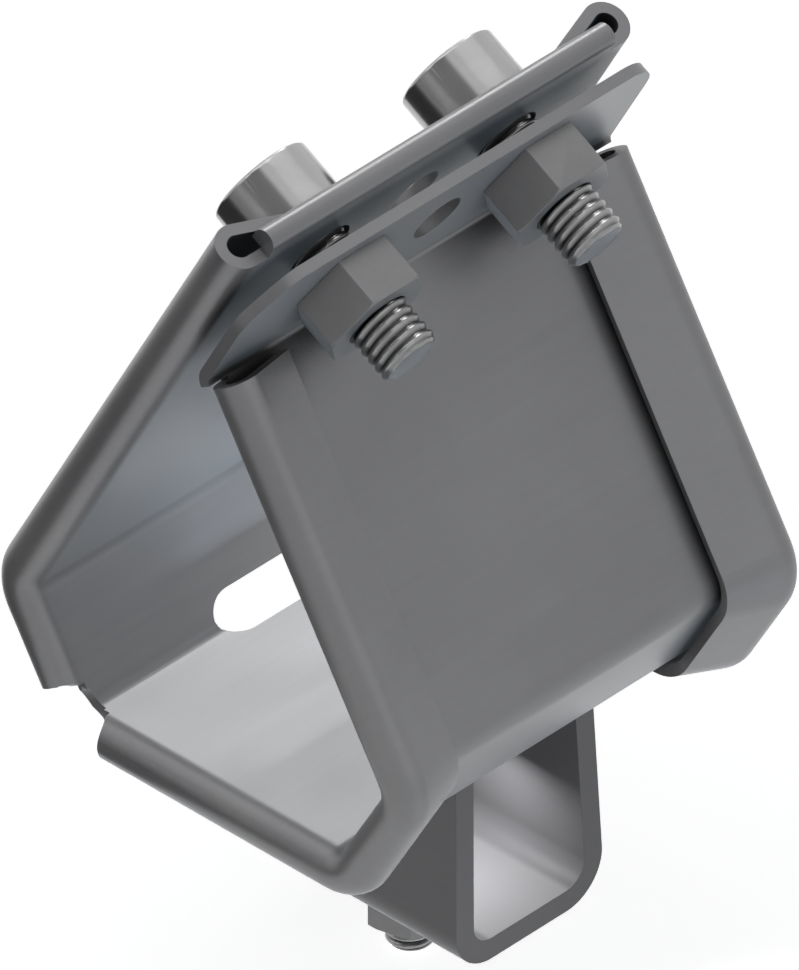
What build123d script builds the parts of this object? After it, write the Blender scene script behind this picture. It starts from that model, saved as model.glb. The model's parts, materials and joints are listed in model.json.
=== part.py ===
from build123d import *
from math import cos, radians, sin, tan
import os

# Trefoil cable cleat with a ladder bracket. Millimetres.
# X runs across the cleat, Y along the cables and Z up.
# The origin is where the bracket bolt's axis meets the floor's underside, which sits on a rung.

# Folded sheet: panel lengths run between fold lines on the inner faces
sheet = 1.5
body_width = 67.0
floor_length = 41.0
hinge_wall = 15.4
foot_wall = 14.4
flange_height = 18.3
strap_angle = 61.0
cover_angle = 58.8
foot_angle = 60.0
fold_radius = 2.5
flange_fold_radius = 1.0

# Curled rims along both edges of the panels
curl_radius = 3.0
curl_turn = 198.0
rim_width = 11.0
rim_setback = 2.7
flange_rim_setback = 2.0

# Hem along the free edge of the strap
hem_rise = 1.4
hem_inside_radius = 0.05
hem_leg = 1.1
hem_margin = 5.1

# Flange corners: the front one is cut back, the back one only rounded
corner_along = 6.4
corner_up = 4.7
corner_round = 6.0
back_corner_round = 5.5

# Reliefs and slot across the fold where the strap opens
relief_radius = 3.5
slot_length = 19.7
slot_width = 6.65
slot_above_fold = 0.22

# Clamp screws, lock washers and nuts, M8
screw_diameter = 8.0
screw_hole = 9.0
screw_height = 9.5
head_to_rim = 0.35
strap_past_screws = 8.94
clamp_gap = 2.6
spare_hole = 7.0
spare_lift = 0.6
screw_length = 20.0
screw_head_diameter = 13.3
screw_head_height = 8.0
screw_key = 6.0
screw_key_depth = 4.0
screw_nut_flats = 13.0
screw_nut_height = 6.5
lock_washer_diameter = 12.7
lock_washer_hole = 8.4
lock_washer_thickness = 1.6
lock_washer_split = 1.0
lock_washer_slant = 30.0

# Ladder bracket
bracket_sheet = 3.0
bracket_width = 25.0
bracket_length = 39.0
bracket_height = 27.2
bracket_fold_radius = 3.0
bracket_lean = 3.9

# Bracket bolt, washer and nut, M6
bolt_place = 21.7
bolt_diameter = 6.0
bolt_hole = 7.0
bolt_head_diameter = 10.5
bolt_head_height = 3.3
bolt_head_round = 2.3
bolt_key = 4.0
bolt_key_depth = 2.0
bolt_thread_past_nut = 3.9
washer_diameter = 12.0
washer_hole = 6.4
washer_thickness = 1.6
bolt_nut_flats = 10.0
bolt_nut_height = 5.2
bolt_nut_turn = 14.0

# Screw ends, nut edges and the fit of nut on thread
thread_clearance = 0.05
screw_end_chamfer = 0.9
bolt_end_chamfer = 0.5
head_round = 0.5
nut_chamfer_angle = 30.0
nut_chamfer = 0.5

along_cables = Vector(0, 1, 0)


def heading(angle):
    """Direction in the cross-section, measured from X towards Z."""
    return Vector(cos(radians(angle)), 0, sin(radians(angle)))


def rimmed_section():
    """Flat web with an outward curl at each edge; local Y points away from the cables."""
    flat = body_width / 2 - curl_radius
    leg = flat + curl_radius * sin(radians(curl_turn)) - (body_width / 2 - rim_width)
    leg_length = -leg / cos(radians(curl_turn))

    def skin(lift):
        web = Line((0, lift), (flat, lift))
        curl = JernArc(web @ 1, (1, 0), curl_radius - lift, curl_turn)
        lip = Line(curl @ 1, curl @ 1 + (curl % 1) * leg_length)
        return web, curl, lip

    inner = skin(0)
    outer = skin(sheet)
    edge = Line(inner[-1] @ 1, outer[-1] @ 1)
    middle = Line((0, 0), (0, sheet))
    half = make_face([*inner, edge, *outer, middle])
    return half + mirror(half, Plane.YZ)


def plain_section(width):
    """Flat web without rims."""
    return Pos(0, sheet / 2) * Rectangle(width, sheet)


def place(section, start, angle):
    """Section square to the run, its inner face on the start point."""
    return Plane(start, x_dir=-along_cables, z_dir=heading(angle)) * section


def run(section, start, angle, length):
    """Straight stretch of sheet."""
    return extrude(place(section, start, angle), amount=length, dir=heading(angle))


def setback(radius, turn):
    """Distance from a fold line to the end of its bend."""
    return radius * tan(radians(turn) / 2)


def fold(section, corner, angle, turn, radius=fold_radius):
    """Bend towards the cables, about an axis inside the fold line."""
    start = corner - heading(angle) * setback(radius, turn)
    axis = Axis(start + heading(angle + 90) * radius, -along_cables)
    return revolve(place(section, start, angle), axis, revolution_arc=turn)


# Fold lines: the cover runs up until its flange faces the strap across the gap
wall_angle = 180 - cover_angle
clamp_way = heading(strap_angle - 90)
hinge_corner = Vector(-bolt_place, 0, sheet)
strap_corner = hinge_corner + heading(wall_angle) * hinge_wall
foot_corner = hinge_corner + heading(0) * floor_length
cover_corner = foot_corner + heading(foot_angle) * foot_wall
to_gap = strap_corner + clamp_way * clamp_gap - cover_corner
cover_length = to_gap.dot(clamp_way) / heading(wall_angle).dot(clamp_way)
flange_corner = cover_corner + heading(wall_angle) * cover_length

# Clamp screws: where their axis meets the strap's outer face, and the strap's end beyond it
clamp_rise = (flange_corner - strap_corner).dot(heading(strap_angle)) + screw_height
strap_face = strap_corner + heading(strap_angle) * clamp_rise - clamp_way * sheet
flange_face = strap_face + clamp_way * (2 * sheet + clamp_gap)
strap_length = clamp_rise + strap_past_screws
strap_end = strap_corner + heading(strap_angle) * strap_length
screw_place = body_width / 2 - rim_width - head_to_rim - screw_head_diameter / 2
grip = (-screw_place, screw_place)
bracket_under = -bracket_height

# Turn of each fold and the length of panel that its bend takes
strap_turn = 180 - cover_angle - strap_angle
hinge_turn = cover_angle
foot_turn = foot_angle
cover_turn = wall_angle - foot_angle
flange_turn = wall_angle - strap_angle
strap_back = setback(fold_radius, strap_turn)
hinge_back = setback(fold_radius, hinge_turn)
foot_back = setback(fold_radius, foot_turn)
cover_back = setback(fold_radius, cover_turn)
flange_back = setback(flange_fold_radius + sheet, flange_turn)

flat_width = body_width - 2 * curl_radius
rimmed = rimmed_section()
web = plain_section(flat_width)
full = plain_section(body_width)


def strap():
    """Long side with its rims, cut square at the end."""
    length = strap_length - strap_back
    return run(rimmed, strap_end, strap_angle + 180, length)


def hem():
    """Free edge of the strap, folded back outwards between the rims."""
    section = plain_section(body_width - 2 * hem_margin)
    top = strap_end + heading(strap_angle) * hem_rise
    out = heading(strap_angle + 90)
    axis = Axis(top + out * (sheet + hem_inside_radius), -along_cables)
    rise = run(section, top, strap_angle + 180, hem_rise)
    turned = revolve(place(section, top, strap_angle + 180), axis, revolution_arc=180)
    back = top + out * (2 * sheet + 2 * hem_inside_radius)
    leg = extrude(
        Plane(back, x_dir=along_cables, z_dir=-heading(strap_angle)) * section,
        amount=hem_leg,
        dir=-heading(strap_angle),
    )
    return rise + turned + leg


def flange():
    """Flat clamping flange across the full width, its front corner cut back."""
    start = flange_corner + heading(strap_angle) * flange_back
    height = flange_height - flange_back
    edge = body_width / 2
    outline = Polygon(
        (-edge, 0),
        (edge, 0),
        (edge, height),
        (corner_along - edge, height),
        (-edge, height - corner_up),
        align=None,
    )
    back_corner = outline.vertices().group_by(Axis.Y)[-1].sort_by(Axis.X)[-1]
    outline = fillet(back_corner, back_corner_round)
    cut_corner = [v for v in outline.vertices() if v.Y > height / 4 and v.X < 0]
    outline = fillet(cut_corner, corner_round)
    plane = Plane(start, x_dir=along_cables, z_dir=heading(strap_angle - 90))
    return extrude(plane * outline, amount=sheet, dir=heading(strap_angle - 90))


def flange_fold():
    """Bend away from the cables, between the cover and its flange."""
    start = flange_corner - heading(wall_angle) * flange_back
    centre = start + heading(wall_angle - 90) * (sheet + flange_fold_radius)
    section = place(full, start, wall_angle)
    return revolve(section, Axis(centre, along_cables), revolution_arc=flange_turn)


def folded_sheet():
    """The sheet folded round the cables, before it is slotted and drilled."""
    rim_start = hinge_corner + heading(wall_angle) * (hinge_wall - strap_back)
    past_relief = hinge_corner + heading(wall_angle) * rim_setback
    bend_end = hinge_corner + heading(0) * hinge_back
    floor_start = hinge_corner + heading(0) * rim_setback
    foot_start = foot_corner + heading(foot_angle) * foot_back
    cover_start = cover_corner + heading(wall_angle) * cover_back
    cover_end = flange_corner - heading(wall_angle) * flange_rim_setback
    down = wall_angle + 180
    sheet_body = strap() + hem()
    sheet_body += fold(rimmed, strap_corner, strap_angle + 180, strap_turn)
    sheet_body += run(rimmed, rim_start, down, (rim_start - past_relief).length)
    sheet_body += run(web, past_relief, down, rim_setback - hinge_back)
    sheet_body += fold(web, hinge_corner, down, hinge_turn)
    sheet_body += run(web, bend_end, 0, rim_setback - hinge_back)
    sheet_body += run(rimmed, floor_start, 0, floor_length - rim_setback - foot_back)
    sheet_body += fold(rimmed, foot_corner, 0, foot_turn)
    sheet_body += run(rimmed, foot_start, foot_angle, foot_wall - foot_back - cover_back)
    sheet_body += fold(rimmed, cover_corner, foot_angle, cover_turn)
    sheet_body += run(rimmed, cover_start, wall_angle, (cover_end - cover_start).length)
    sheet_body += run(web, cover_end, wall_angle, flange_rim_setback - flange_back)
    return sheet_body + flange_fold() + flange()


def fold_slot():
    """Round-ended cutters across the fold that opens, one square to each of its panels."""
    bend_swell = fold_radius / cos(radians(hinge_turn / 2)) - fold_radius
    cutters = []
    for outward, shift in ((heading(-90), heading(180)), (heading(wall_angle + 90), heading(wall_angle))):
        middle = hinge_corner + shift * slot_above_fold - outward * 2 * bend_swell
        plane = Plane(middle, x_dir=along_cables, z_dir=outward)
        slot = plane * SlotOverall(slot_length, slot_width)
        cutters.append(extrude(slot, amount=3 * curl_radius, dir=outward))
    return cutters


def reliefs():
    """Round cutters at both ends of that fold, one square to each of its panels."""
    cutters = []
    for outward in (heading(-90), heading(wall_angle + 90)):
        for edge in (-1, 1):
            centre = hinge_corner + along_cables * edge * body_width / 2 - outward * sheet
            bit = Plane(centre, z_dir=outward) * Circle(relief_radius)
            cutters.append(extrude(bit, amount=3 * curl_radius, dir=outward))
    return cutters


def clamp_plane(point, offset):
    """Workplane square to the screw axis, at a point along it and a place along the cables."""
    return Plane(point + along_cables * offset, x_dir=along_cables, z_dir=clamp_way)


def cleat_body():
    """One sheet, with its slot, reliefs and holes."""
    body = folded_sheet()
    body -= fold_slot()
    body -= reliefs()
    through = 2 * (2 * sheet + clamp_gap)
    for offset, lift, size in ((grip[0], 0, screw_hole), (0, spare_lift, spare_hole), (grip[1], 0, screw_hole)):
        rise = heading(strap_angle) * lift
        for face in (strap_face, flange_face):
            hole = clamp_plane(face + rise, offset) * Circle(size / 2)
            body -= extrude(hole, amount=through / 2, both=True)
    return body - Cylinder(bolt_hole / 2, 4 * sheet)


def cap_screw(diameter, length, head_diameter, head_height, key, key_depth, rounding, tip):
    """Hex socket screw: the head stands above the XY plane and the shank below it."""
    head = Pos(0, 0, head_height / 2) * Cylinder(head_diameter / 2, head_height)
    head = fillet(head.edges().group_by(Axis.Z)[-1], rounding)
    shank = Pos(0, 0, -length / 2) * Cylinder(diameter / 2, length)
    shank = chamfer(shank.edges().group_by(Axis.Z)[0], tip)
    socket = RegularPolygon(key / 2, 6, major_radius=False)
    return head + shank - extrude(Pos(0, 0, head_height) * socket, amount=-key_depth)


def hex_nut(flats, height, thread):
    """Hex nut above the XY plane, chamfered at its outer face and bored to fit its thread."""
    blank = extrude(RegularPolygon(flats / 2, 6, major_radius=False), amount=height)
    corner = flats / 3**0.5
    face = corner - nut_chamfer
    cone = nut_chamfer * tan(radians(nut_chamfer_angle))
    turned = Polyline((0, 0), (corner, 0), (corner, height - cone), (face, height), (0, height), close=True)
    blank &= revolve(Plane.XZ * make_face(turned), Axis.Z)
    bore = thread / 2 + thread_clearance
    blank -= Pos(0, 0, height / 2) * Cylinder(bore, height)
    return blank


def ladder_bracket():
    """Channel under the floor that takes a ladder rung."""
    half = bracket_width / 2
    corner = bracket_fold_radius + bracket_sheet
    lean = bracket_height * tan(radians(bracket_lean))
    outer = FilletPolyline(
        (-half, 0),
        (-half, bracket_under),
        (half, bracket_under),
        (half - lean, 0),
        radius=corner,
    )
    inner_half = half - bracket_sheet
    inner_floor = bracket_under + bracket_sheet
    slope = bracket_sheet / cos(radians(bracket_lean))
    shift = bracket_sheet * tan(radians(bracket_lean))
    inner = FilletPolyline(
        (-inner_half, 0),
        (-inner_half, inner_floor),
        (half - slope - shift, inner_floor),
        (half - lean - slope, 0),
        radius=bracket_fold_radius,
    )
    ends = [Line(outer @ 0, inner @ 0), Line(outer @ 1, inner @ 1)]
    profile = make_face([*outer.edges(), *inner.edges(), *ends])
    start = Plane((-bracket_length / 2, 0, 0), x_dir=(0, 1, 0), z_dir=(1, 0, 0))
    channel = extrude(start * profile, amount=bracket_length, dir=(1, 0, 0))
    return channel - Pos(0, 0, bracket_under) * Cylinder(bolt_hole / 2, 4 * bracket_sheet)


def bracket_washer():
    """Plain washer under the bracket."""
    ring = Circle(washer_diameter / 2) - Circle(washer_hole / 2)
    return extrude(Pos(0, 0, bracket_under) * ring, amount=-washer_thickness)


def lock_washer(offset):
    """Split ring between screw head and strap, pressed flat."""
    ring = Circle(lock_washer_diameter / 2) - Circle(lock_washer_hole / 2)
    washer = extrude(ring, amount=lock_washer_thickness)
    reach = lock_washer_diameter / 2
    saw = Box(lock_washer_split, reach, 2 * reach, align=(Align.CENTER, Align.MIN, Align.CENTER))
    washer -= Pos(0, 0, lock_washer_thickness / 2) * Rot(0, lock_washer_slant, 0) * saw
    point = strap_face + along_cables * offset
    return Plane(point, x_dir=along_cables, z_dir=-clamp_way) * washer


def clamp_screw(offset):
    """Cap screw with its head on the lock washer."""
    screw = cap_screw(
        screw_diameter,
        screw_length,
        screw_head_diameter,
        screw_head_height,
        screw_key,
        screw_key_depth,
        head_round,
        screw_end_chamfer,
    )
    point = strap_face - clamp_way * lock_washer_thickness + along_cables * offset
    return Plane(point, x_dir=along_cables, z_dir=-clamp_way) * screw


def clamp_nut(offset):
    """Nut on the flange, with two corners in line with the cables."""
    nut = hex_nut(screw_nut_flats, screw_nut_height, screw_diameter)
    return clamp_plane(flange_face, offset) * nut


def bracket_bolt():
    """Low-headed bolt down through the floor and the bracket."""
    stack = sheet + bracket_height + washer_thickness + bolt_nut_height
    bolt = cap_screw(
        bolt_diameter,
        stack + bolt_thread_past_nut,
        bolt_head_diameter,
        bolt_head_height,
        bolt_key,
        bolt_key_depth,
        bolt_head_round,
        bolt_end_chamfer,
    )
    return Pos(0, 0, sheet) * bolt


def bracket_nut():
    """Nut on the washer."""
    nut = hex_nut(bolt_nut_flats, bolt_nut_height, bolt_diameter)
    seat = bracket_under - washer_thickness
    corner_way = (cos(radians(bolt_nut_turn)), sin(radians(bolt_nut_turn)), 0)
    return Plane((0, 0, seat), x_dir=corner_way, z_dir=(0, 0, -1)) * nut


export_step(cleat_body(), "parts/cleat_body.step")
export_step(ladder_bracket(), "parts/ladder_bracket.step")
export_step(bracket_bolt(), "parts/bracket_bolt.step")
export_step(bracket_washer(), "parts/bracket_washer.step")
export_step(bracket_nut(), "parts/bracket_nut.step")
for side, offset in zip(("front", "back"), grip):
    export_step(clamp_screw(offset), f"parts/{side}_clamp_screw.step")
    export_step(lock_washer(offset), f"parts/{side}_lock_washer.step")
    export_step(clamp_nut(offset), f"parts/{side}_clamp_nut.step")
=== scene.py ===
"""Trefoil cable cleat with its ladder bracket, dressed and lit for a studio picture."""
import json
import logging
import math
from dataclasses import dataclass, field
from enum import Enum

import bmesh
import bpy
from mathutils import Matrix, Quaternion, Vector


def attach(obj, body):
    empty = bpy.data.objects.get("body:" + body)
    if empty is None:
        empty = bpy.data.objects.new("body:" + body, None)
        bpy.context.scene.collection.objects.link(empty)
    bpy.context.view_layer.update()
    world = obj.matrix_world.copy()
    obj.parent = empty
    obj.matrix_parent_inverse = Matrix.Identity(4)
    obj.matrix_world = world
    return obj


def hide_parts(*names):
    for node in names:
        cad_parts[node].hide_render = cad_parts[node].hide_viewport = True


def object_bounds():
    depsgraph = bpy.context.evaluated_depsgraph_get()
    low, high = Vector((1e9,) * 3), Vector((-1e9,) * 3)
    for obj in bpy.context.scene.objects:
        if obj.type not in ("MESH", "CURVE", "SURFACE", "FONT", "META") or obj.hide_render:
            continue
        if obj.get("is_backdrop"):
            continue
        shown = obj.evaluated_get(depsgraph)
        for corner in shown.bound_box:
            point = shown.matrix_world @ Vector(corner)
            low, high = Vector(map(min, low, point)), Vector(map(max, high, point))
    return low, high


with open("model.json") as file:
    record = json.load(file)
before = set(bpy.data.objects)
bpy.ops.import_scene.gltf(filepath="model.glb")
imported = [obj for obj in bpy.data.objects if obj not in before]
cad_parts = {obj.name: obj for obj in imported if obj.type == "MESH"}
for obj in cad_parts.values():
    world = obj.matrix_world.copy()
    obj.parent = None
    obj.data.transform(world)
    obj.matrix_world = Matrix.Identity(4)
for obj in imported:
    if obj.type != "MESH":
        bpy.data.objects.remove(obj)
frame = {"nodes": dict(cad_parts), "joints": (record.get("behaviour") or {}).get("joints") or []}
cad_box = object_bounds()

MM = 0.001
MERGE_DISTANCE = 0.002 * MM
# Facets that meet within this angle, in degrees, are one flat face
FLAT_WITHIN = 0.2
EDGE_SEGMENTS = 2
log = logging.getLogger("cable_cleat")

Colour = tuple[float, float, float]
MeshPart = bmesh.types.BMVert | bmesh.types.BMEdge | bmesh.types.BMFace
WHITE: Colour = (1.0, 1.0, 1.0)
# The light that reaches faces turned downwards
COOL: Colour = (0.7, 0.86, 1.0)

# Cells a metre of the drawn grain and of the scratches, and their octaves of detail
GRAIN_SCALE, GRAIN_DETAIL = 900.0, 4.0
SCRATCH_SCALE, SCRATCH_DETAIL = 240.0, 8.0
CLOUD_DETAIL = 3.0
# Only the peaks of the scratch noise leave a mark
SCRATCH_WINDOW = (0.62, 0.8)
SCRATCH_LIFT = 0.35
# From how shut in to how open a spot is, for the painted shade in crevices
PAINTED_SHADE_WINDOW = (0.3, 0.64)
PAINTED_SHADE_SAMPLES = 8
# From valley to ridge, about the flat's 0.5, for the painted shade in thread valleys
VALLEY_SHADE_WINDOW = (0.47, 0.52)
# Height of the grain's relief, as the light sees it
BUMP_DEPTH = 0.02 * MM
# Places of the two colours and of the result among a Mix node's sockets
MIX_FIRST, MIX_SECOND, MIX_RESULT = 6, 7, 2


class Ray(Enum):
    """Kinds of ray that see the plain background colour."""

    CAMERA = "Is Camera Ray"
    GLOSSY = "Is Glossy Ray"
    THROUGH = "Is Transmission Ray"


class Side(Enum):
    """The two clamp screws, by their end of the cleat."""

    FRONT = "front"
    BACK = "back"


class NodeDesk:
    """A node tree that is being wired, with short calls to add and link nodes."""

    def __init__(self, tree: bpy.types.NodeTree) -> None:
        """Start on a tree.

        Args:
            tree: The node tree to fill.
        """
        self.tree = tree

    def add(self, kind: str, **settings: object) -> bpy.types.Node:
        """Add one node.

        Args:
            kind: The node's type name.
            settings: Properties of the node to set.

        Returns:
            The new node.
        """
        node = self.tree.nodes.new(kind)
        for name, value in settings.items():
            setattr(node, name, value)
        return node

    def link(self, start: bpy.types.NodeSocket, end: bpy.types.NodeSocket) -> None:
        """Link two sockets.

        Args:
            start: The socket that gives.
            end: The socket that takes.
        """
        self.tree.links.new(start, end)

    def noise(self, source: bpy.types.NodeSocket, scale: float, detail: float) -> bpy.types.NodeSocket:
        """Add a noise texture.

        Args:
            source: The coordinates that it reads.
            scale: Its scale in cells a metre.
            detail: Octaves of detail.

        Returns:
            Its factor, from 0 to 1.
        """
        node = self.add("ShaderNodeTexNoise")
        node.inputs["Scale"].default_value = scale
        node.inputs["Detail"].default_value = detail
        self.link(source, node.inputs["Vector"])
        return node.outputs["Fac"]

    def stretched(
        self, source: bpy.types.NodeSocket, scale: tuple[float, float, float]
    ) -> bpy.types.NodeSocket:
        """Stretch coordinates along their axes.

        Args:
            source: The coordinates.
            scale: A factor for each axis.

        Returns:
            The stretched coordinates.
        """
        node = self.add("ShaderNodeMapping")
        node.inputs["Scale"].default_value = scale
        self.link(source, node.inputs["Vector"])
        return node.outputs["Vector"]

    def spread(
        self,
        source: bpy.types.NodeSocket,
        low: bpy.types.NodeSocket | float,
        high: bpy.types.NodeSocket | float,
        window: tuple[float, float] = (0.3, 0.7),
    ) -> bpy.types.NodeSocket:
        """Map a noise factor onto a range.

        Args:
            source: The factor.
            low: The result at the window's low end.
            high: The result at its high end.
            window: The stretch of the factor that is used.

        Returns:
            The mapped value.
        """
        node = self.add("ShaderNodeMapRange")
        node.inputs["From Min"].default_value, node.inputs["From Max"].default_value = window
        self.link(source, node.inputs["Value"])
        for name, end in (("To Min", low), ("To Max", high)):
            if isinstance(end, bpy.types.NodeSocket):
                self.link(end, node.inputs[name])
            else:
                node.inputs[name].default_value = end
        return node.outputs["Result"]

    def sums(self, operation: str, *terms: bpy.types.NodeSocket | float) -> bpy.types.NodeSocket:
        """Add a math node.

        Args:
            operation: Its operation.
            terms: One or two sockets or numbers.

        Returns:
            The result.
        """
        node = self.add("ShaderNodeMath", operation=operation)
        for place, term in enumerate(terms):
            if isinstance(term, bpy.types.NodeSocket):
                self.link(term, node.inputs[place])
            else:
                node.inputs[place].default_value = term
        return node.outputs[0]


def rolled_surface_group() -> bpy.types.NodeTree:
    """Build the shared look of rolled steel.

    It has soft clouds, drawn grain and fine scratches, and paints shade into crevices and thread
    valleys.

    Returns:
        A node group that gives Color, Roughness and Height.
    """
    group = bpy.data.node_groups.new("rolled_surface", "ShaderNodeTree")
    desk = NodeDesk(group)
    for name, kind, start in (
        ("Pale", "NodeSocketColor", (0.4, 0.4, 0.4, 1)),
        ("Deep", "NodeSocketColor", (0.3, 0.3, 0.3, 1)),
        ("Smoothest", "NodeSocketFloat", 0.3),
        ("Roughest", "NodeSocketFloat", 0.4),
        ("Grain", "NodeSocketFloat", 0.5),
        ("Grain Coordinates", "NodeSocketVector", (0, 0, 0)),
        ("Cloud Scale", "NodeSocketFloat", 40.0),
        ("Painted Shade Reach", "NodeSocketFloat", 0.006),
        ("Painted Shade Tone", "NodeSocketFloat", 0.2),
        ("Painted Valley Shade", "NodeSocketFloat", 1.0),
    ):
        socket = group.interface.new_socket(name, in_out="INPUT", socket_type=kind)
        socket.default_value = start
    for name, kind in (("Color", "Color"), ("Roughness", "Float"), ("Height", "Float")):
        group.interface.new_socket(name, in_out="OUTPUT", socket_type=f"NodeSocket{kind}")
    given = desk.add("NodeGroupInput")
    result = desk.add("NodeGroupOutput")
    place = desk.add("ShaderNodeTexCoord").outputs["Object"]
    cloud = desk.add("ShaderNodeTexNoise")
    cloud.inputs["Detail"].default_value = CLOUD_DETAIL
    desk.link(place, cloud.inputs["Vector"])
    desk.link(given.outputs["Cloud Scale"], cloud.inputs["Scale"])
    grain = desk.noise(given.outputs["Grain Coordinates"], GRAIN_SCALE, GRAIN_DETAIL)
    scratch = desk.noise(given.outputs["Grain Coordinates"], SCRATCH_SCALE, SCRATCH_DETAIL)
    clouds = desk.spread(cloud.outputs["Fac"], 0.0, 1.0)
    lines = desk.sums("MULTIPLY", desk.spread(grain, -0.5, 0.5), given.outputs["Grain"])
    patches = desk.sums("ADD", clouds, lines)
    peaks = desk.spread(scratch, 0.0, SCRATCH_LIFT, SCRATCH_WINDOW)
    marks = desk.sums("MULTIPLY", peaks, given.outputs["Grain"])
    blend = desk.sums("ADD", patches, marks)
    colour = desk.add("ShaderNodeMix", data_type="RGBA")
    desk.link(blend, colour.inputs["Factor"])
    desk.link(given.outputs["Deep"], colour.inputs[MIX_FIRST])
    desk.link(given.outputs["Pale"], colour.inputs[MIX_SECOND])
    # Painted shade: the colour darkens where other surfaces close a spot in, in folds, gaps, holes and
    # under parts
    painted_shade_probe = desk.add("ShaderNodeAmbientOcclusion", samples=PAINTED_SHADE_SAMPLES)
    desk.link(given.outputs["Painted Shade Reach"], painted_shade_probe.inputs["Distance"])
    painted_shade_factor = desk.spread(painted_shade_probe.outputs["AO"], given.outputs["Painted Shade Tone"], 1.0, PAINTED_SHADE_WINDOW)
    # Painted shade: the colour darkens in hollows of the surface, such as the thread's valleys
    bend = desk.add("ShaderNodeNewGeometry").outputs["Pointiness"]
    valley_shade_factor = desk.spread(bend, given.outputs["Painted Valley Shade"], 1.0, VALLEY_SHADE_WINDOW)
    # The colour, darkened by both painted shades
    painted_shade_colour = desk.add("ShaderNodeVectorMath", operation="SCALE")
    desk.link(colour.outputs[MIX_RESULT], painted_shade_colour.inputs[0])
    desk.link(desk.sums("MULTIPLY", painted_shade_factor, valley_shade_factor), painted_shade_colour.inputs["Scale"])
    desk.link(painted_shade_colour.outputs["Vector"], result.inputs["Color"])
    smoothest, roughest = given.outputs["Smoothest"], given.outputs["Roughest"]
    rough = desk.spread(patches, smoothest, roughest, window=(0.0, 1.0))
    desk.link(rough, result.inputs["Roughness"])
    desk.link(desk.sums("ADD", lines, marks), result.inputs["Height"])
    return group


@dataclass(frozen=True)
class SteelFinish:
    """A steel finish: its tones, its gloss, how its grain runs and how much shade is painted into its
    hollows.
    """

    name: str
    pale: Colour
    deep: Colour
    smoothest: float
    roughest: float
    cloud_scale: float
    metallic: float = 0.35
    grain: float = 0.25
    grain_stretch: tuple[float, float, float] = (1, 1, 1)
    bump: float = 0.15
    # Reach and darkest tone of the painted shade in crevices
    painted_shade_reach: float = 6 * MM
    painted_shade_tone: float = 0.25
    # Tone of the painted shade in valleys
    painted_valley_shade: float = 1.0

    def material(self, surface: bpy.types.NodeTree) -> bpy.types.Material:
        """Build the material.

        Args:
            surface: The rolled surface's node group.

        Returns:
            The material.
        """
        made = bpy.data.materials.new(self.name)
        made.use_nodes = True
        desk = NodeDesk(made.node_tree)
        shader = made.node_tree.nodes["Principled BSDF"]
        shader.inputs["Metallic"].default_value = self.metallic
        place = desk.add("ShaderNodeTexCoord").outputs["Object"]
        skin = desk.add("ShaderNodeGroup", node_tree=surface)
        for socket, value in (
            ("Pale", (*self.pale, 1)),
            ("Deep", (*self.deep, 1)),
            ("Smoothest", self.smoothest),
            ("Roughest", self.roughest),
            ("Grain", self.grain),
            ("Cloud Scale", self.cloud_scale),
            ("Painted Shade Reach", self.painted_shade_reach),
            ("Painted Shade Tone", self.painted_shade_tone),
            ("Painted Valley Shade", self.painted_valley_shade),
        ):
            skin.inputs[socket].default_value = value
        desk.link(desk.stretched(place, self.grain_stretch), skin.inputs["Grain Coordinates"])
        desk.link(skin.outputs["Color"], shader.inputs["Base Color"])
        desk.link(skin.outputs["Roughness"], shader.inputs["Roughness"])
        bump = desk.add("ShaderNodeBump")
        bump.inputs["Strength"].default_value = self.bump
        bump.inputs["Distance"].default_value = BUMP_DEPTH
        desk.link(skin.outputs["Height"], bump.inputs["Height"])
        desk.link(bump.outputs["Normal"], shader.inputs["Normal"])
        return made


SHEET = SteelFinish(
    name="satin_sheet",
    pale=(0.32, 0.32, 0.325),
    deep=(0.265, 0.265, 0.275),
    smoothest=0.34,
    roughest=0.42,
    cloud_scale=30.0,
    grain_stretch=(1, 0.04, 1),
    # Strong painted shade in the sheet's folds, its gaps and its holes
    painted_shade_reach=11 * MM,
    painted_shade_tone=0.12,
)
BRACKET = SteelFinish(
    name="bracket_plate",
    pale=(0.108, 0.108, 0.113),
    deep=(0.09, 0.09, 0.095),
    smoothest=0.36,
    roughest=0.44,
    cloud_scale=35.0,
    grain_stretch=(0.04, 1, 1),
)
SCREW = SteelFinish(
    name="bright_screw",
    pale=(0.40, 0.40, 0.40),
    deep=(0.35, 0.35, 0.35),
    smoothest=0.17,
    roughest=0.2,
    cloud_scale=60.0,
    metallic=1.0,
    grain=0.1,
    bump=0.05,
)
NUT = SteelFinish(
    name="machined_nut",
    pale=(0.31, 0.31, 0.315),
    deep=(0.26, 0.26, 0.265),
    smoothest=0.34,
    roughest=0.42,
    cloud_scale=60.0,
    grain=0.3,
)
THREAD = SteelFinish(
    name="thread_steel",
    pale=(0.34, 0.34, 0.34),
    deep=(0.26, 0.26, 0.26),
    smoothest=0.2,
    roughest=0.28,
    cloud_scale=90.0,
    metallic=0.8,
    grain=0.0,
    bump=0.0,
    # Close, dark painted shade in crevices, and dark painted shade in the thread's valleys
    painted_shade_reach=2.5 * MM,
    painted_shade_tone=0.0,
    painted_valley_shade=0.1,
)


def merged_copy(node: str) -> bmesh.types.BMesh:
    """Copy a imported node's mesh, welded, with its flat faces whole.

    Args:
        node: The node's name.

    Returns:
        The copy.
    """
    bm = bmesh.new()
    bm.from_mesh(frame["nodes"][node].data)
    bmesh.ops.remove_doubles(bm, verts=bm.verts, dist=MERGE_DISTANCE)
    limit = math.radians(FLAT_WITHIN)
    bmesh.ops.dissolve_limit(bm, angle_limit=limit, verts=bm.verts, edges=bm.edges)
    return bm


def everything(bm: bmesh.types.BMesh) -> list[MeshPart]:
    """List all of a mesh's vertices, edges and faces."""
    return bm.verts[:] + bm.edges[:] + bm.faces[:]


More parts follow.
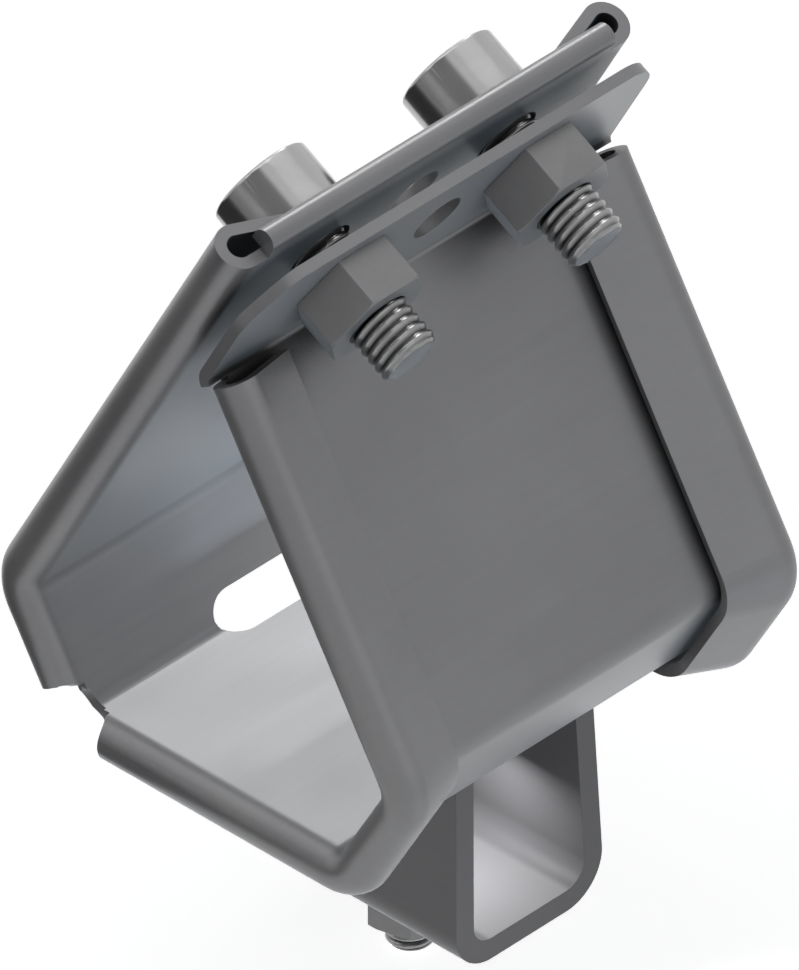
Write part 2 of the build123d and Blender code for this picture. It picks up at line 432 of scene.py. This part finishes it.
def cut_and_close(bm: bmesh.types.BMesh, cuts: list[tuple[Vector, Vector]]) -> None:
    """Cut a mesh off at planes and close what is left.

    Args:
        bm: The mesh.
        cuts: A point of each plane and the way towards what goes.
    """
    for place, way in cuts:
        bmesh.ops.bisect_plane(bm, geom=everything(bm), plane_co=place, plane_no=way, clear_outer=True)
    bmesh.ops.holes_fill(bm, edges=[edge for edge in bm.edges if edge.is_boundary], sides=0)


def linked_object(
    bm: bmesh.types.BMesh, name: str, materials: list[bpy.types.Material]
) -> bpy.types.Object:
    """Turn a bmesh into an object of the scene.

    Args:
        bm: The mesh, which is freed.
        name: The object's name.
        materials: Its materials, by slot.

    Returns:
        The object.
    """
    mesh = bpy.data.meshes.new(name)
    bm.to_mesh(mesh)
    bm.free()
    for material in materials:
        mesh.materials.append(material)
    item = bpy.data.objects.new(name, mesh)
    bpy.context.scene.collection.objects.link(item)
    return item


def finish_piece(
    bm: bmesh.types.BMesh,
    name: str,
    materials: list[bpy.types.Material],
    edge_radius: float,
    smooth_within: float = 24.0,
) -> bpy.types.Object:
    """Turn a bmesh into a smooth piece with small rounded edges.

    Args:
        bm: The mesh, which is freed.
        name: The piece's name.
        materials: Its materials, by slot.
        edge_radius: Radius of its sharp edges, in metres, or 0 to leave them sharp.
        smooth_within: Faces that meet within this angle, in degrees, are shaded as one.

    Returns:
        The piece's object.
    """
    piece = linked_object(bm, name, materials)
    piece.data.shade_smooth()
    piece.data.set_sharp_from_angle(angle=math.radians(smooth_within))
    if edge_radius:
        bevel = piece.modifiers.new("edges", "BEVEL")
        bevel.width = edge_radius
        bevel.segments = EDGE_SEGMENTS
        bevel.limit_method = "ANGLE"
        bevel.angle_limit = math.radians(smooth_within)
        bevel.harden_normals = True
    return piece


def seat_piece(piece: bpy.types.Object, node: str, body: str) -> None:
    """Put a piece in its node's place and on its body.

    Args:
        piece: The piece.
        node: The node that it stands for.
        body: The body that it rides on.
    """
    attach(piece, body)
    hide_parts(node)
    log.info("%s on %s, for %s", piece.name, body, node)


@dataclass
class PlatePiece:
    """A piece that keeps its solid's shape and gets softened edges: sheet, bracket, nut or washer."""

    node: str
    body: str
    slot: str
    edge_radius: float

    def build(self, materials: list[bpy.types.Material]) -> None:
        """Build, dress and seat the piece.

        Args:
            materials: Its materials, by slot.
        """
        piece = finish_piece(merged_copy(self.node), f"{self.node}_dressed", materials, self.edge_radius)
        seat_piece(piece, self.node, self.body)


@dataclass
class ThreadedFastener:
    """A socket screw: the head of its solid, and a shank with a cut thread.

    Its head stands head_lift above the joint's point, and length is measured from under the head.
    The thread's outline is a wave of profile_points steps a turn, which crest_sharpness fills out.
    """

    node: str
    body: str
    joint: str
    diameter: float
    pitch: float
    length: float
    head_lift: float
    tip: float
    edge_radius: float = 0.12 * MM
    thread_depth: float = 0.36 * MM
    profile_points: int = 12
    crest_sharpness: float = 0.8
    thread_smooth: float = 40.0
    overlap: float = 0.05 * MM
    steps: int = 64
    spare_turns: int = 2
    slot: str = "screw_steel"

    def axis(self) -> tuple[Vector, Vector]:
        """Find the screw's axis.

        Returns:
            A point on it and its direction, from tip to head.
        """
        joint = next(j for j in frame["joints"] if j["name"] == self.joint)
        return Vector(joint["pos_m"]), Vector(joint["axis"]).normalized()

    def thread(self, start: float, end: float) -> bmesh.types.BMesh:
        """Wind the thread about the Z axis.

        Args:
            start: Height of its lower end.
            end: Height of its upper end.

        Returns:
            The closed shank.
        """
        crest = self.diameter / 2
        root = crest - self.thread_depth
        turns = math.ceil((end - start) / self.pitch) + self.spare_turns
        bm = bmesh.new()
        points = []
        for part in range(self.profile_points + 1):
            share = part / self.profile_points
            swell = (1 - math.cos(2 * math.pi * share)) / 2
            radius = root + (crest - root) * swell**self.crest_sharpness
            points.append(bm.verts.new((radius, 0, start + (share - 1) * self.pitch)))
        edges = [bm.edges.new(pair) for pair in zip(points, points[1:])]
        bmesh.ops.spin(
            bm,
            geom=points + edges,
            cent=(0, 0, 0),
            axis=(0, 0, 1),
            dvec=(0, 0, self.pitch / self.steps),
            angle=2 * math.pi,
            steps=self.steps,
        )
        first_turn = everything(bm)
        for turn in range(1, turns):
            copied = bmesh.ops.duplicate(bm, geom=first_turn)["geom"]
            moved = [item for item in copied if isinstance(item, bmesh.types.BMVert)]
            bmesh.ops.translate(bm, verts=moved, vec=(0, 0, turn * self.pitch))
        bmesh.ops.remove_doubles(bm, verts=bm.verts, dist=MERGE_DISTANCE)
        up = Vector((0, 0, 1))
        cut_and_close(bm, [(up * start, -up), (up * end, up)])
        for vert in bm.verts:
            limit = crest - max(0.0, self.tip - (vert.co.z - start))
            radius = vert.co.xy.length
            if radius > limit:
                vert.co.xy *= limit / radius
        bmesh.ops.recalc_face_normals(bm, faces=bm.faces)
        return bm

    def build(self, head_material: bpy.types.Material, thread_material: bpy.types.Material) -> None:
        """Build the head and the threaded shank, and seat both.

        Args:
            head_material: The head's finish.
            thread_material: The shank's finish.
        """
        foot, way = self.axis()
        under_head = foot + way * self.head_lift
        turn = way.to_track_quat("Z", "Y").to_matrix().to_4x4()
        shank = self.thread(-self.length, self.overlap)
        bmesh.ops.transform(shank, matrix=Matrix.Translation(under_head) @ turn, verts=shank.verts)
        strip = finish_piece(shank, f"{self.node}_thread", [thread_material], 0.0, self.thread_smooth)
        seat_piece(strip, self.node, self.body)
        bm = merged_copy(self.node)
        cut_and_close(bm, [(under_head + way * self.overlap / 2, -way)])
        head = finish_piece(bm, f"{self.node}_head", [head_material], self.edge_radius)
        seat_piece(head, self.node, self.body)


@dataclass
class CableCleat:
    """The whole cleat: sheet, bracket and fasteners."""

    sheet_edge: float = 0.12 * MM
    bracket_edge: float = 0.2 * MM
    nut_edge: float = 0.15 * MM
    washer_edge: float = 0.1 * MM

    def build(self) -> None:
        """Build every piece in order."""
        surface = rolled_surface_group()
        sheet = SHEET.material(surface)
        bracket = BRACKET.material(surface)
        screw = SCREW.material(surface)
        nut = NUT.material(surface)
        thread = THREAD.material(surface)
        PlatePiece("cleat_body", "cleat", "cleat_sheet", self.sheet_edge).build([sheet])
        PlatePiece("ladder_bracket", "cleat", "bracket_steel", self.bracket_edge).build([bracket])
        PlatePiece("bracket_washer", "cleat", "nut_steel", self.washer_edge).build([nut])
        PlatePiece("bracket_nut", "bolt_nut", "nut_steel", self.nut_edge).build([nut])
        ThreadedFastener(
            node="bracket_bolt",
            body="bolt",
            joint="bolt_turn",
            diameter=6 * MM,
            pitch=1.0 * MM,
            length=39.4 * MM,
            head_lift=1.5 * MM,
            tip=0.5 * MM,
        ).build(screw, thread)
        for side in Side:
            part = side.value
            ThreadedFastener(
                node=f"{part}_clamp_screw",
                body=f"{part}_screw",
                joint=f"{part}_screw_turn",
                diameter=8 * MM,
                pitch=1.25 * MM,
                length=20 * MM,
                head_lift=1.6 * MM,
                tip=0.6 * MM,
            ).build(screw, thread)
            PlatePiece(f"{part}_lock_washer", "cleat", "screw_steel", self.washer_edge).build([screw])
            PlatePiece(f"{part}_clamp_nut", f"{part}_nut", "nut_steel", self.nut_edge).build([nut])


def direction(azimuth: float, elevation: float) -> Vector:
    """Work out the way towards a viewer or a lamp.

    Args:
        azimuth: Degrees round the object, from its front.
        elevation: Degrees above the horizon.

    Returns:
        The unit vector.
    """
    around, above = math.radians(azimuth), math.radians(elevation)
    return Vector(
        (math.sin(around) * math.cos(above), -math.cos(around) * math.cos(above), math.sin(above))
    )


def area_lamp(name: str, size: tuple[float, float], watts: float, tint: Colour) -> bpy.types.Object:
    """Make an area lamp.

    Args:
        name: Its name.
        size: Its width and depth, in metres.
        watts: Its strength.
        tint: Its colour.

    Returns:
        The lamp, in the scene but not yet placed.
    """
    light = bpy.data.lights.new(name, "AREA")
    light.shape = "RECTANGLE"
    light.size, light.size_y = size
    light.energy = watts
    light.color = tint
    lamp = bpy.data.objects.new(name, light)
    bpy.context.scene.collection.objects.link(lamp)
    return lamp


@dataclass
class Lamp:
    """A square studio lamp that looks at the cleat's middle."""

    name: str
    azimuth: float
    elevation: float
    distance: float
    size: float
    watts: float
    shadow: bool = True
    tint: Colour = WHITE

    def build(self, target: Vector) -> None:
        """Hang the lamp.

        Args:
            target: The point that it looks at.
        """
        lamp = area_lamp(self.name, (self.size, self.size), self.watts, self.tint)
        lamp.data.use_shadow = self.shadow
        # Rays sent from a surface would stop at the object or the floor, and the lamp would fade
        above_floor = self.elevation > 0
        lamp.data.cycles.use_multiple_importance_sampling = self.shadow and above_floor
        way = direction(self.azimuth, self.elevation)
        lamp.location = target + way * self.distance
        lamp.rotation_euler = way.to_track_quat("Z", "Y").to_euler()


@dataclass
class HollowLamp:
    """A small lamp inside a hollow, where the studio lamps don't reach."""

    name: str
    place: tuple[float, float, float]
    shines: tuple[float, float, float]
    size: tuple[float, float]
    watts: float
    tint: Colour = WHITE

    def build(self, target: Vector) -> None:
        """Hang the lamp.

        Args:
            target: The cleat's middle, from which its place is measured.
        """
        lamp = area_lamp(self.name, self.size, self.watts, self.tint)
        lamp.location = target + Vector(self.place)
        lamp.rotation_euler = (-Vector(self.shines)).to_track_quat("Z", "Y").to_euler()
        for ray in ("camera", "glossy", "transmission"):
            setattr(lamp, f"visible_{ray}", False)


@dataclass
class ReflectorCard:
    """A plain grey card that only shows in glossy reflections."""

    name: str
    centre: tuple[float, float, float]
    width: float
    depth: float
    tone: float
    faces_cleat: bool = True

    def build(self, target: Vector) -> None:
        """Set the card up.

        Args:
            target: The point that it faces, unless it lies flat.
        """
        bm = bmesh.new()
        bmesh.ops.create_grid(bm, x_segments=1, y_segments=1, size=0.5)
        place = Vector(self.centre)
        turn = (target - place).to_track_quat("Z", "Y") if self.faces_cleat else Quaternion()
        shape = Matrix.LocRotScale(place, turn, (self.width, self.depth, 1))
        bmesh.ops.transform(bm, matrix=shape, verts=bm.verts)
        material = bpy.data.materials.new(self.name)
        material.use_nodes = True
        shader = material.node_tree.nodes["Principled BSDF"]
        shader.inputs["Base Color"].default_value = (0, 0, 0, 1)
        shader.inputs["Emission Color"].default_value = (*[self.tone] * 3, 1)
        shader.inputs["Emission Strength"].default_value = 1.0
        card = linked_object(bm, self.name, [material])
        for ray in ("camera", "diffuse", "transmission", "volume_scatter", "shadow"):
            setattr(card, f"visible_{ray}", False)
        card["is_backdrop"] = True


@dataclass
class Studio:
    """Floor, lamps, world and camera.

    The camera is nearly parallel. The lamps without shadow bring each face to its plain tone, and the
    lamps inside light the hollows. Sizes are in metres and angles in degrees.
    """

    azimuth: float = 44.1037
    elevation: float = 36.075
    roll: float = -0.2408
    pixels_per_mm: float = 8.5855
    origin_pixel: tuple[float, float] = (409.55, 677.8)
    frame_pixels: tuple[int, int] = (799, 970)
    lens: float = 1400.0
    sensor: float = 36.0
    clip_factor: float = 4.0
    room_tint: Colour = (0.8, 0.82, 0.86)
    room_strength: float = 0.08
    floor_drop: float = 0.5 * MM
    floor_radius: float = 3.0
    floor_sides: int = 64
    floor_tone: float = 0.9
    floor_lift: float = 0.66
    lamps: list[Lamp] = field(
        default_factory=lambda: [
            Lamp("key", -60, 75, 1.0, 0.7, 1.0),
            Lamp("back_key", -136, 36, 1.0, 0.25, 1.85, shadow=False),
            Lamp("left_fill", -90, 65, 1.0, 0.7, 0.8, shadow=False),
            Lamp("back_fill", 150, 65, 1.0, 0.7, 0.4, shadow=False),
            Lamp("right_fill", 90, 30, 1.0, 0.7, 0.5),
            Lamp("front_fill", -40, 40, 1.0, 0.7, 0.5, shadow=False),
            Lamp("low_front_fill", 10, 5, 1.0, 0.7, 0.34, shadow=False),
            Lamp("low_back_fill", -136, -40, 1.0, 0.7, 0.5, shadow=False, tint=COOL),
            Lamp("low_right_fill", 95, -25, 1.0, 0.7, 0.45, tint=COOL),
        ]
    )
    hollow_lamps: list[HollowLamp] = field(
        default_factory=lambda: [
            HollowLamp("wall_fill", (0.010, 0, -0.010), (-1, 0, 0.6), (0.05, 0.02), 0.008),
            HollowLamp("strap_fill", (0.002, 0, -0.008), (-0.2, 0, 1), (0.02, 0.05), 0.007, COOL),
            HollowLamp("bracket_fill", (0.009, -0.002, -0.031), (0, -0.1, -1), (0.009, 0.012), 0.017),
        ]
    )
    cards: list[ReflectorCard] = field(
        default_factory=lambda: [
            ReflectorCard("floor_card", (-0.22, -0.33, -0.038), 0.36, 0.60, 0.0, faces_cleat=False),
            ReflectorCard("front_card", (0.10, -0.39, 0.44), 0.42, 0.42, 0.30),
            ReflectorCard("low_front_card", (-0.07, -0.50, 0.15), 0.6, 0.34, 0.35),
        ]
    )

    def camera(self) -> None:
        """Place the camera so that the origin falls on its pixel."""
        back = direction(self.azimuth, self.elevation)
        around = math.radians(self.azimuth)
        level = Vector((math.cos(around), math.sin(around), 0))
        upward = back.cross(level)
        tilt = math.radians(self.roll)
        right = level * math.cos(tilt) + upward * math.sin(tilt)
        up = upward * math.cos(tilt) - level * math.sin(tilt)
        width, height = self.frame_pixels
        across = (width / 2 - self.origin_pixel[0]) / self.pixels_per_mm * MM
        rise = (self.origin_pixel[1] - height / 2) / self.pixels_per_mm * MM
        focal_pixels = self.lens / self.sensor * height
        distance = focal_pixels / self.pixels_per_mm * MM
        data = bpy.data.cameras.new("studio_camera")
        data.lens = self.lens
        data.sensor_width = self.sensor
        data.clip_end = self.clip_factor * distance
        camera = bpy.data.objects.new("studio_camera", data)
        place = right * across + up * rise + back * distance
        turn = Matrix((right, up, back)).transposed().to_4x4()
        camera.matrix_world = Matrix.Translation(place) @ turn
        bpy.context.scene.collection.objects.link(camera)
        bpy.context.scene.camera = camera

    def background_rays(self, desk: NodeDesk) -> bpy.types.NodeSocket:
        """Mark the rays that see the plain background.

        Args:
            desk: The tree.

        Returns:
            A factor that is 1 for those rays.
        """
        path = desk.add("ShaderNodeLightPath")
        seen = path.outputs[Ray.CAMERA.value]
        for ray in (Ray.GLOSSY, Ray.THROUGH):
            seen = desk.sums("MAXIMUM", seen, path.outputs[ray.value])
        return seen

    def plain_white(self, desk: NodeDesk, shaded: bpy.types.NodeSocket) -> bpy.types.NodeSocket:
        """Mix a shader with plain white for the rays that see the background.

        Args:
            desk: The tree.
            shaded: What other rays see.

        Returns:
            The mixed shader.
        """
        seen = self.background_rays(desk)
        white = desk.add("ShaderNodeBackground")
        white.inputs["Color"].default_value = (*WHITE, 1)
        mix = desk.add("ShaderNodeMixShader")
        desk.link(seen, mix.inputs[0])
        desk.link(shaded, mix.inputs[1])
        desk.link(white.outputs[0], mix.inputs[2])
        return mix.outputs[0]

    def world(self) -> None:
        """Light the room softly, and show it white."""
        world = bpy.data.worlds.new("studio_world")
        bpy.context.scene.world = world
        world.use_nodes = True
        desk = NodeDesk(world.node_tree)
        soft = world.node_tree.nodes["Background"]
        soft.inputs["Color"].default_value = (*self.room_tint, 1)
        soft.inputs["Strength"].default_value = self.room_strength
        shown = world.node_tree.nodes["World Output"].inputs["Surface"]
        desk.link(self.plain_white(desk, soft.outputs[0]), shown)

    def floor(self) -> None:
        """Lay a plain pale floor just under the lowest point."""
        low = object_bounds()[0]
        bm = bmesh.new()
        bmesh.ops.create_circle(bm, cap_ends=True, segments=self.floor_sides, radius=self.floor_radius)
        bmesh.ops.translate(bm, verts=bm.verts, vec=(0, 0, low.z - self.floor_drop))
        material = bpy.data.materials.new("floor_white")
        material.use_nodes = True
        shader = material.node_tree.nodes["Principled BSDF"]
        shader.inputs["Base Color"].default_value = (*[self.floor_tone] * 3, 1)
        shader.inputs["Specular IOR Level"].default_value = 0.0
        shader.inputs["Emission Color"].default_value = (*WHITE, 1)
        desk = NodeDesk(material.node_tree)
        lift = desk.sums("MULTIPLY", self.background_rays(desk), self.floor_lift)
        desk.link(lift, shader.inputs["Emission Strength"])
        floor = linked_object(bm, "floor", [material])
        # The low lamps shine from below it
        floor.visible_shadow = False
        floor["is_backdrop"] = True

    def build(self) -> None:
        """Set up the whole studio."""
        low, high = cad_box
        middle = (low + high) / 2
        for item in [*self.lamps, *self.hollow_lamps, *self.cards]:
            item.build(middle)
        self.camera()
        self.world()
        self.floor()
        bpy.context.scene.view_settings.view_transform = "Standard"


def main() -> None:
    """Build the cleat and its studio."""
    logging.basicConfig(level=logging.INFO, format="%(message)s")
    CableCleat().build()
    Studio().build()


if __name__ == "__main__":
    main()
